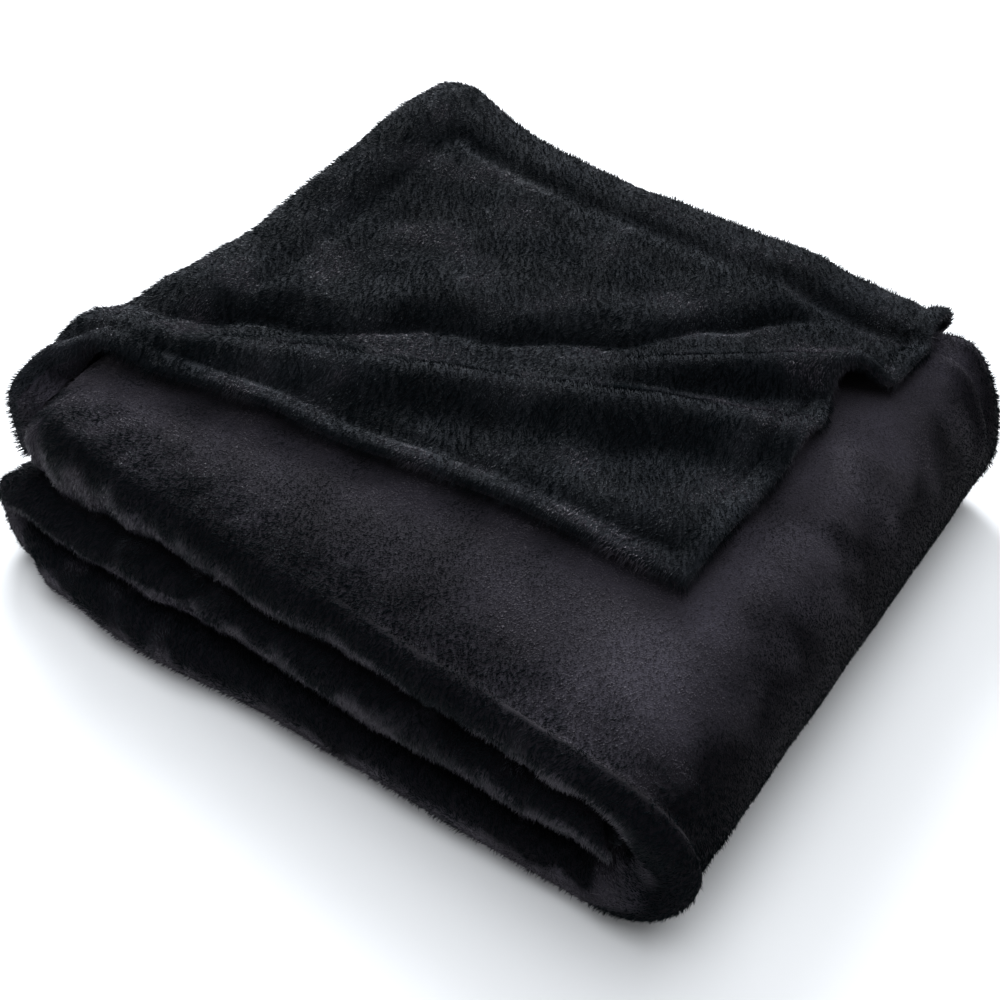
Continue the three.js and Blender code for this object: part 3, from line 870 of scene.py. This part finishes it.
def fleeceMaterial(name):
    look = fleeceLooks[name]
    tint = (*look["tint"], 1)
    mat = newMaterial(name, {
        "Roughness": look["rough"], "Sheen Roughness": fleeceShared["sheenRough"],
        "Sheen Tint": tint, "Specular Tint": tint,
    })
    tree = mat.node_tree
    shader = tree.nodes["Principled BSDF"]
    add, link = functools.partial(addNode, tree), tree.links.new
    tone = add("ShaderNodeAttribute", {}, "Fac", attribute_name="tone")
    paintedShading = add("ShaderNodeMapRange", {"Value": tone, **fleeceShared["paintedShading"]}, "Result")
    # painted sheen and gloss: the painted shade scales them
    for label, most in (("Sheen Weight", look["sheen"]), ("Specular IOR Level", fleeceShared["gloss"])):
        level = add("ShaderNodeMath", {0: paintedShading, 1: most}, "Value", operation="MULTIPLY")
        link(level, shader.inputs[label])
    place = add("ShaderNodeTexCoord", {}, "Object")
    patches = {"Vector": place, "Scale": fleeceShared["patchScale"], "Detail": 3}
    blend = add("ShaderNodeValToRGB", {"Fac": add("ShaderNodeTexNoise", patches, "Fac")}, None)
    for element, (at, bright) in zip(blend.color_ramp.elements, fleeceShared["patches"]):
        element.position = at
        element.color = (*[c * bright for c in look["colour"]], 1)
    # the painted shade and light scale the patchy colour
    colour = {0: blend.outputs["Color"], "Scale": paintedShading}
    link(add("ShaderNodeVectorMath", colour, "Vector", operation="SCALE"), shader.inputs["Base Color"])
    grain = add("ShaderNodeTexNoise", {"Vector": place, "Scale": look["grainScale"], "Detail": 2}, "Fac")
    bump = {"Height": grain, "Strength": fleeceShared["grainStrength"], "Distance": look["grainDeep"] * mm}
    link(add("ShaderNodeBump", bump, "Normal"), shader.inputs["Normal"])
    return mat


for name in fleeceLooks:
    mesh.materials.append(fleeceMaterial(name))

# The pile: thin three-sided strands, scattered over the open cloth and combed


def strandShape(name, material):
    # one unit wide and long, with its tip bent to the side
    tipBend = 0.4
    bm = bmesh.new()
    bmesh.ops.create_cone(bm, segments=3, radius1=0.5, radius2=0, depth=1, cap_ends=False)
    bmesh.ops.translate(bm, verts=bm.verts[:], vec=(0, 0, 0.5))
    tip = max(bm.verts, key=lambda v: v.co.z)
    tip.co.x += tipBend
    made = bpy.data.meshes.new(name)
    bm.to_mesh(made)
    bm.free()
    made.materials.append(material)
    return bpy.data.objects.new(name, made)


driftSeeds = {"clump": 1.7, "patch": 4.1}  # where in the noise each push is read


def pileNodes(name, look, strands):
    tree = bpy.data.node_groups.new(name, "GeometryNodeTree")
    tree.interface.new_socket("Cloth", in_out="INPUT", socket_type="NodeSocketGeometry")
    tree.interface.new_socket("Pile", in_out="OUTPUT", socket_type="NodeSocketGeometry")
    add = functools.partial(addNode, tree)

    def attribute(label, kind="FLOAT"):
        return add("GeometryNodeInputNamedAttribute", {"Name": label}, "Attribute", data_type=kind)

    def plus(a, b):
        return add("ShaderNodeVectorMath", {0: a, 1: b}, "Vector", operation="ADD")

    def scaled(way, by):
        return add("ShaderNodeVectorMath", {0: way, "Scale": by}, "Vector", operation="SCALE")

    def chance(low, high, seed, kind="FLOAT"):
        node = add("FunctionNodeRandomValue", {"Seed": seed}, None, data_type=kind)
        for socket, value in zip([s for s in node.inputs if s.enabled], (low, high)):
            socket.default_value = value
        return next(s for s in node.outputs if s.enabled)

    def drift(wide, seed):
        # a push that changes slowly from place to place
        moved = plus(add("GeometryNodeInputPosition", {}, "Position"), (seed, 2 * seed, 3 * seed))
        wave = add("ShaderNodeTexNoise", {"Vector": moved, "Scale": 1 / (wide * mm), "Detail": 1}, "Color")
        return add("ShaderNodeVectorMath", {0: wave, 1: (0.5, 0.5, 0.5)}, "Vector", operation="SUBTRACT")

    # the points
    seed = look["seed"]
    share = {0: attribute(name), 1: look["perSquareMm"] * 1e6}
    scatter = add("GeometryNodeDistributePointsOnFaces", {
        "Mesh": add("NodeGroupInput", {}, "Cloth"), "Seed": seed,
        "Density": add("ShaderNodeMath", share, "Value", operation="MULTIPLY"),
    }, None)

    # the way each strand lies
    way = scaled(scatter.outputs["Normal"], look["stand"])
    for push, by in (
        (attribute("comb", "FLOAT_VECTOR"), look["lay"]),
        (drift(look["clumpWide"], driftSeeds["clump"]), look["clump"]),
        (drift(look["patchWide"], driftSeeds["patch"]), look["patch"]),
        (chance((-1, -1, -1), (1, 1, 1), seed + 1, "FLOAT_VECTOR"), look["stray"]),
    ):
        way = plus(way, scaled(push, by))
    turn = add("FunctionNodeAlignRotationToVector", {"Vector": way}, "Rotation", axis="Z")
    spin = {"Axis": (0, 0, 1), "Angle": chance(0, 2 * math.pi, seed + 2)}
    lie = {"Rotation": turn, "Rotate By": add("FunctionNodeAxisAngleToRotation", spin, "Rotation")}
    lie = add("FunctionNodeRotateRotation", lie, "Rotation", rotation_space="LOCAL")
    height = chance(look["shortest"] * mm, look["longest"] * mm, seed + 3)
    size = {"X": look["wide"] * mm, "Y": look["wide"] * mm, "Z": height}

    # which of the strands, by its tone: random patches plus the painted light and shade in the tone
    # attribute
    patches = add("ShaderNodeTexNoise", {"Scale": 1 / (look["toneWide"] * mm), "Detail": 2}, "Fac")
    tone = {0: patches, 1: look["toneDeep"], 2: look["tone"] - 0.5 * look["toneDeep"]}
    tone = add("ShaderNodeMath", tone, "Value", operation="MULTIPLY_ADD")
    for more in (attribute("tone"), chance(-look["toneGrain"], look["toneGrain"], seed + 4)):
        tone = add("ShaderNodeMath", {0: tone, 1: more}, "Value", operation="ADD")
    bounded = add("ShaderNodeClamp", {"Value": tone, "Max": len(strands.objects) - 1}, "Result")
    kinds = {"Collection": strands, "Separate Children": True, "Reset Children": True}
    placed = add("GeometryNodeInstanceOnPoints", {
        "Points": scatter.outputs["Points"],
        "Instance": add("GeometryNodeCollectionInfo", kinds, "Instances"),
        "Pick Instance": True,
        "Instance Index": add("FunctionNodeFloatToInt", {"Float": bounded}, "Integer"),
        "Rotation": lie,
        "Scale": add("ShaderNodeCombineXYZ", size, "Vector"),
    }, "Instances")
    real = add("GeometryNodeRealizeInstances", {"Geometry": placed}, "Geometry")
    rounded = add("GeometryNodeSetShadeSmooth", {"Geometry": real}, "Geometry")
    add("NodeGroupOutput", {"Pile": rounded}, None)
    return tree


def growPile(name, look, strands):
    grown = addObject(name, mesh)
    modifier = grown.modifiers.new("pile", "NODES")
    modifier.node_group = pileNodes(name, look, strands)
    shown = grown.evaluated_get(bpy.context.evaluated_depsgraph_get())
    result = bpy.data.meshes.new_from_object(shown)
    grown.modifiers.clear()
    grown.data = result
    kept = ("sharp_face", "material_index")
    for extra in [a.name for a in result.attributes if not a.is_required and a.name not in kept]:
        result.attributes.remove(result.attributes[extra])
    result.name = name
    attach(grown, "root")
    print(name, len(result.polygons), "triangles")
    return grown


def strandSet(name, tones, rough):
    # strands of the same shape, from dull dark ones to pale glossy ones: shaded and lit copies that the
    # painted shade and random patches pick between
    made = bpy.data.collections.new(name)
    for n, (colour, gloss, tint) in enumerate(tones):
        label = f"{name}{n + 1}"
        material = newMaterial(label, {
            "Base Color": (*colour, 1), "Roughness": rough,
            "Specular IOR Level": gloss, "Specular Tint": (*tint, 1),
        })
        made.objects.link(strandShape(label, material))
    return made


# Sizes in millimetres; tone is from 0, all dark strands, to 4, all pale ones
pileLooks = {
    "sheetPile": {
        "seed": 11, "perSquareMm": 0.5, "shortest": 4, "longest": 6.5, "wide": 0.5,
        "stand": 0.46, "lay": 0.95, "clumpWide": 6, "clump": 1.3, "patchWide": 45, "patch": 1.0,
        "stray": 0.2, "tone": 1.9, "toneWide": 38, "toneDeep": 15, "toneGrain": 0.5,
    },
    "rollPile": {
        "seed": 51, "perSquareMm": 0.42, "shortest": 3.5, "longest": 5.5, "wide": 0.55,
        "stand": 0.36, "lay": 0.9, "clumpWide": 6, "clump": 1.4, "patchWide": 45, "patch": 1.0,
        "stray": 0.18, "tone": 1.6, "toneWide": 24, "toneDeep": 9, "toneGrain": 0.6,
    },
    "coverPile": {
        "seed": 21, "perSquareMm": 0.64, "shortest": 1.3, "longest": 2.2, "wide": 0.48,
        "stand": 0.5, "lay": 0.8, "clumpWide": 4, "clump": 0.8, "patchWide": 40, "patch": 0.9,
        "stray": 0.45, "tone": 2.1, "toneWide": 36, "toneDeep": 14, "toneGrain": 0.8,
    },
    "frontPile": {
        "seed": 31, "perSquareMm": 0.8, "shortest": 2.2, "longest": 3.8, "wide": 0.48,
        "stand": 0.5, "lay": 0.8, "clumpWide": 6, "clump": 1.3, "patchWide": 26, "patch": 0.9,
        "stray": 0.25, "tone": 2, "toneWide": 18, "toneDeep": 16, "toneGrain": 0.5,
    },
    "edgePile": {
        "seed": 41, "perSquareMm": 0.5, "shortest": 2.6, "longest": 4.4, "wide": 0.6,
        "stand": 0.6, "lay": 0.6, "clumpWide": 6, "clump": 1.3, "patchWide": 30, "patch": 0.8,
        "stray": 0.3, "tone": 1.5, "toneWide": 20, "toneDeep": 10, "toneGrain": 0.6,
    },
}
# From dark to pale: colour, gloss and the gloss's tint. The dark pile is greenish, the pale pile pinkish.
# The painted light and shade in the tone attribute pick the darker or paler ones, beside random patches.
plushTones = [
    ((0.002, 0.0034, 0.0045), 0.04, (0.7, 0.92, 1)),
    ((0.0026, 0.0038, 0.0052), 0.1, (0.78, 0.92, 1)),
    ((0.0038, 0.0048, 0.0068), 0.19, (0.85, 0.92, 1)),
    ((0.007, 0.0076, 0.0108), 0.32, (0.93, 0.91, 1)),
    ((0.0138, 0.0134, 0.0188), 0.5, (1, 0.91, 1)),
]
smoothTones = [
    ((0.0025, 0.0034, 0.0046), 0.05, (0.75, 0.92, 1)),
    ((0.004, 0.0045, 0.0064), 0.15, (0.85, 0.92, 1)),
    ((0.0065, 0.0064, 0.0092), 0.28, (0.93, 0.91, 1)),
    ((0.0118, 0.011, 0.0155), 0.46, (1, 0.91, 1)),
    ((0.019, 0.0172, 0.024), 0.7, (1, 0.91, 1)),
]
plushStrands = strandSet("plushStrand", plushTones, rough=0.35)
smoothStrands = strandSet("smoothStrand", smoothTones, rough=0.4)
for name, look in pileLooks.items():
    growPile(name, look, smoothStrands if name == "coverPile" else plushStrands)
for strands in (plushStrands, smoothStrands):
    for strand in list(strands.objects):
        bpy.data.objects.remove(strand)
    bpy.data.collections.remove(strands)

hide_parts(blanketNode)
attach(cloth, "root")

# Floor, light and camera

studio = {
    "floorHalf": 6, "floorColour": (0.9, 0.9, 0.9, 1), "floorRough": 0.9,
    "ambient": 0.13, "lightColour": (0.92, 0.955, 1),
}
floorMesh = bpy.data.meshes.new("floor")
bm = bmesh.new()
bmesh.ops.create_grid(bm, x_segments=1, y_segments=1, size=studio["floorHalf"])
bm.to_mesh(floorMesh)
bm.free()
floor = addObject("floor", floorMesh)
floorInputs = {"Base Color": studio["floorColour"], "Roughness": studio["floorRough"]}
floorMesh.materials.append(newMaterial("paleFloor", floorInputs))

world = bpy.data.worlds.new("studio")
bpy.context.scene.world = world
world.use_nodes = True
world.node_tree.nodes["Background"].inputs["Color"].default_value = (1, 1, 1, 1)
world.node_tree.nodes["Background"].inputs["Strength"].default_value = studio["ambient"]

# Places, aims and sizes in metres, power in watts
lights = table(
    "name place aim size power",
    ("topLight", (0.15, 0.1, 2.4), (0, 0, 0), (3.4, 2.6), 76),
    ("keyLight", (-1.4, 1.3, 1.35), (0, 0, 0.05), (1.1, 0.8), 80),
    ("frontLight", (-0.4, -2.0, 0.5), (0, 0, 0), (2.4, 0.7), 12),
)


def pointAlong(thing, place, way):
    thing.location = place
    thing.rotation_mode = "QUATERNION"
    thing.rotation_quaternion = way.to_track_quat("-Z", "Y")


for light in lights:
    data = bpy.data.lights.new(light["name"], "AREA")
    data.color = studio["lightColour"]
    data.shape = "RECTANGLE"
    data.size, data.size_y = light["size"]
    data.energy = light["power"]
    lamp = addObject(light["name"], data)
    pointAlong(lamp, light["place"], Vector(light["aim"]) - Vector(light["place"]))

eye = {
    "x": 597.6, "y": -331.74, "z": 545.72,  # from the pack's left front corner
    "yaw": 2.21592, "pitch": 0.6745, "lens": 52.97, "sensor": 36,
}
camData = bpy.data.cameras.new("camera")
camData.lens, camData.sensor_width = eye["lens"], eye["sensor"]
camera = addObject("camera", camData)
eyePlace = Vector((eye["x"] - pack["middleX"], eye["y"] - pack["middleY"], eye["z"])) * mm
level = math.cos(eye["pitch"])
way = Vector((math.cos(eye["yaw"]) * level, math.sin(eye["yaw"]) * level, -math.sin(eye["pitch"])))
pointAlong(camera, eyePlace, way)
bpy.context.scene.camera = camera
bpy.context.scene.view_settings.view_transform = "Standard"
